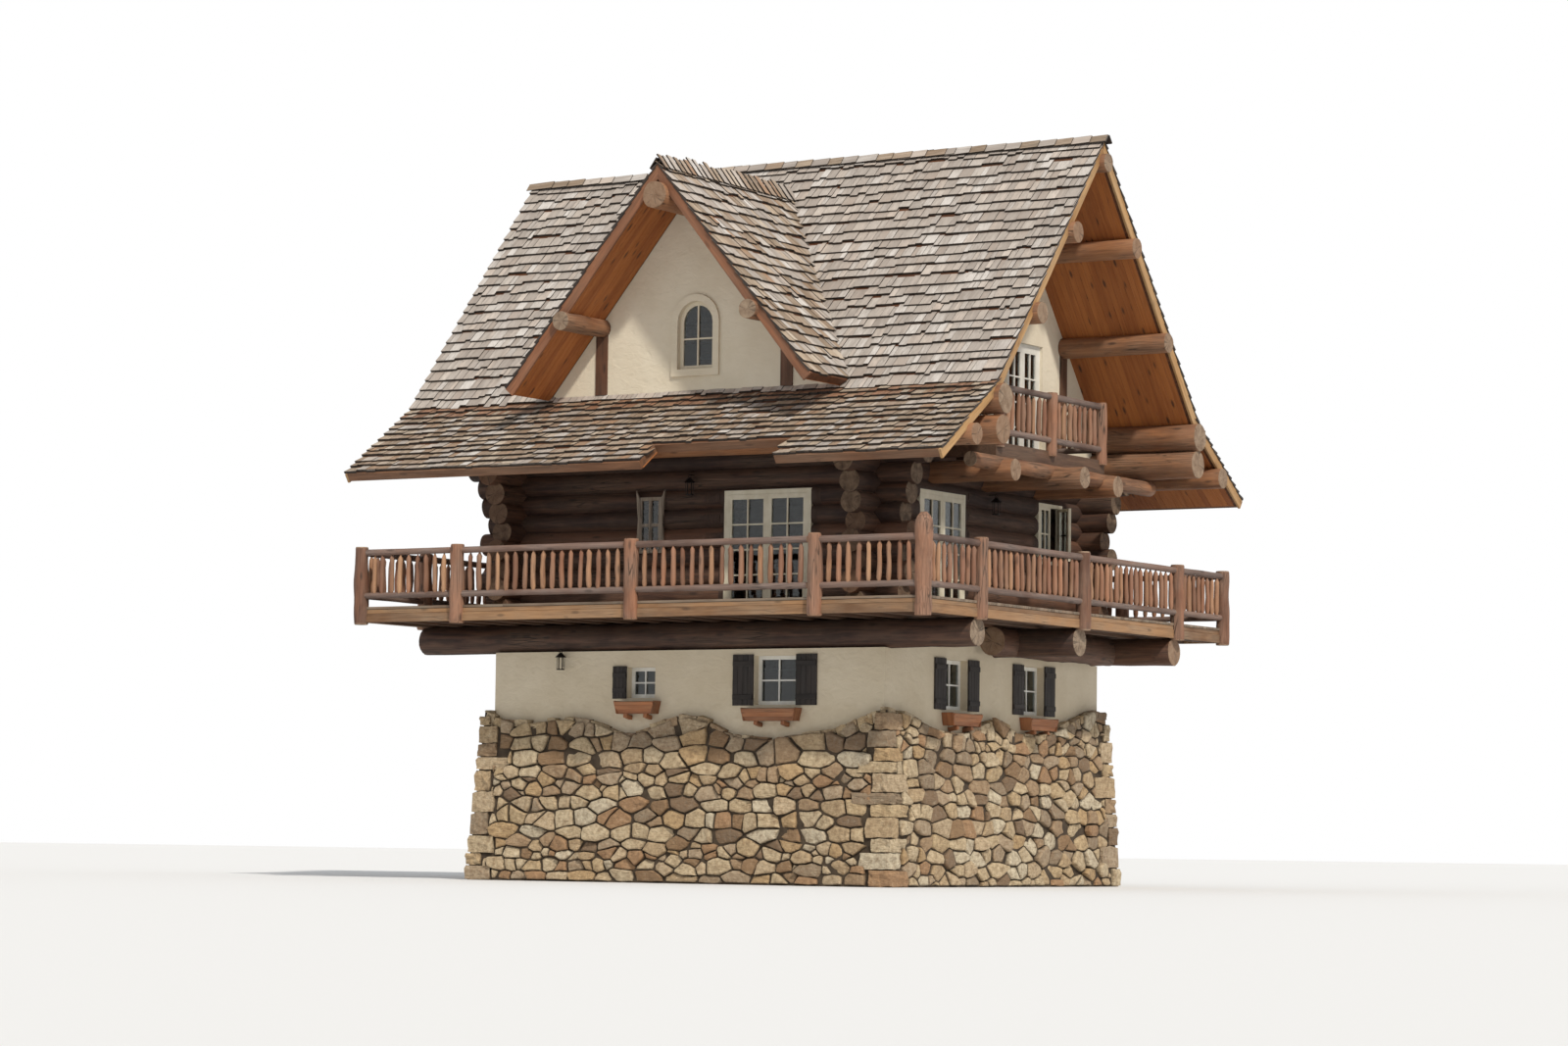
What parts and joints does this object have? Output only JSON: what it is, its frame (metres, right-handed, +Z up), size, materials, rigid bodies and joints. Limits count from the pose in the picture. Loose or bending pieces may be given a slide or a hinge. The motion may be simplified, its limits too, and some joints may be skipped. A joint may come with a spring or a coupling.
{
  "type": "alpine chalet",
  "caption": "Alpine chalet with stone plinth, stuccoed lower storey, log upper storey, all-round deck, steep bell-cast shake roof, front dormer and gable balcony.",
  "frame": {"origin": "centre of the underside of the stone plinth", "axes": "+X right along the ridge as seen from the front, +Y to the back, +Z up"},
  "size_m": [12.9, 11.965, 13.7293],
  "materials": {
    "boards": "brown weathered boards",
    "cream_paint": "cream painted joinery",
    "dark_wood": "very dark stained boards",
    "glass": "dark clear glass",
    "iron": "black iron lantern",
    "logs": "dark oiled peeled logs",
    "peeled_poles": "reddish weathered peeled poles",
    "roof_boards": "golden and reddish stained roof boards",
    "shakes": "weathered silver-grey wooden shakes",
    "stone": "rough rubble masonry of buff and ochre stones",
    "stucco": "hand-trowelled cream stucco"
  },
  "bodies": {
    "root": {"balcony_floor": "boards", "balcony_logs": "logs", "balcony_railing": "peeled_poles", "bargeboards": "roof_boards", "deck_doors": "cream_paint", "deck_joists": "boards", "deck_logs": "logs", "deck_planks": "boards", "deck_posts": "peeled_poles", "deck_rim": "roof_boards", "deck_windows": "cream_paint", "dormer_logs": "logs", "dormer_roof_deck": "roof_boards", "dormer_shakes": "shakes", "dormer_wall": "stucco", "dormer_window": "cream_paint", "fascia": "roof_boards", "flower_boxes": "boards", "gable_joinery": "cream_paint", "gable_wall_left": "stucco", "gable_wall_right": "stucco", "lanterns": "iron", "log_wall_back": "logs", "log_wall_front": "logs", "log_wall_left": "logs", "log_wall_right": "logs", "lower_floor": "boards", "lower_windows": "cream_paint", "main_floor": "boards", "plate_logs": "logs", "purlins": "logs", "railing_back": "peeled_poles", "railing_front": "peeled_poles", "railing_left": "peeled_poles", "railing_right": "peeled_poles", "ridge_cap": "shakes", "roof_deck_back": "roof_boards", "roof_deck_front": "roof_boards", "roof_shakes_back": "shakes", "roof_shakes_front": "shakes", "shutters": "dark_wood", "slab_window": "boards", "stone_facing": "stone", "stone_plinth": "stone", "stucco_wall_back": "stucco", "stucco_wall_front": "stucco", "stucco_wall_left": "stucco", "stucco_wall_right": "stucco", "upper_floor": "boards", "wall_posts": "logs", "window_glass": "glass"}
  },
  "joints": []
}
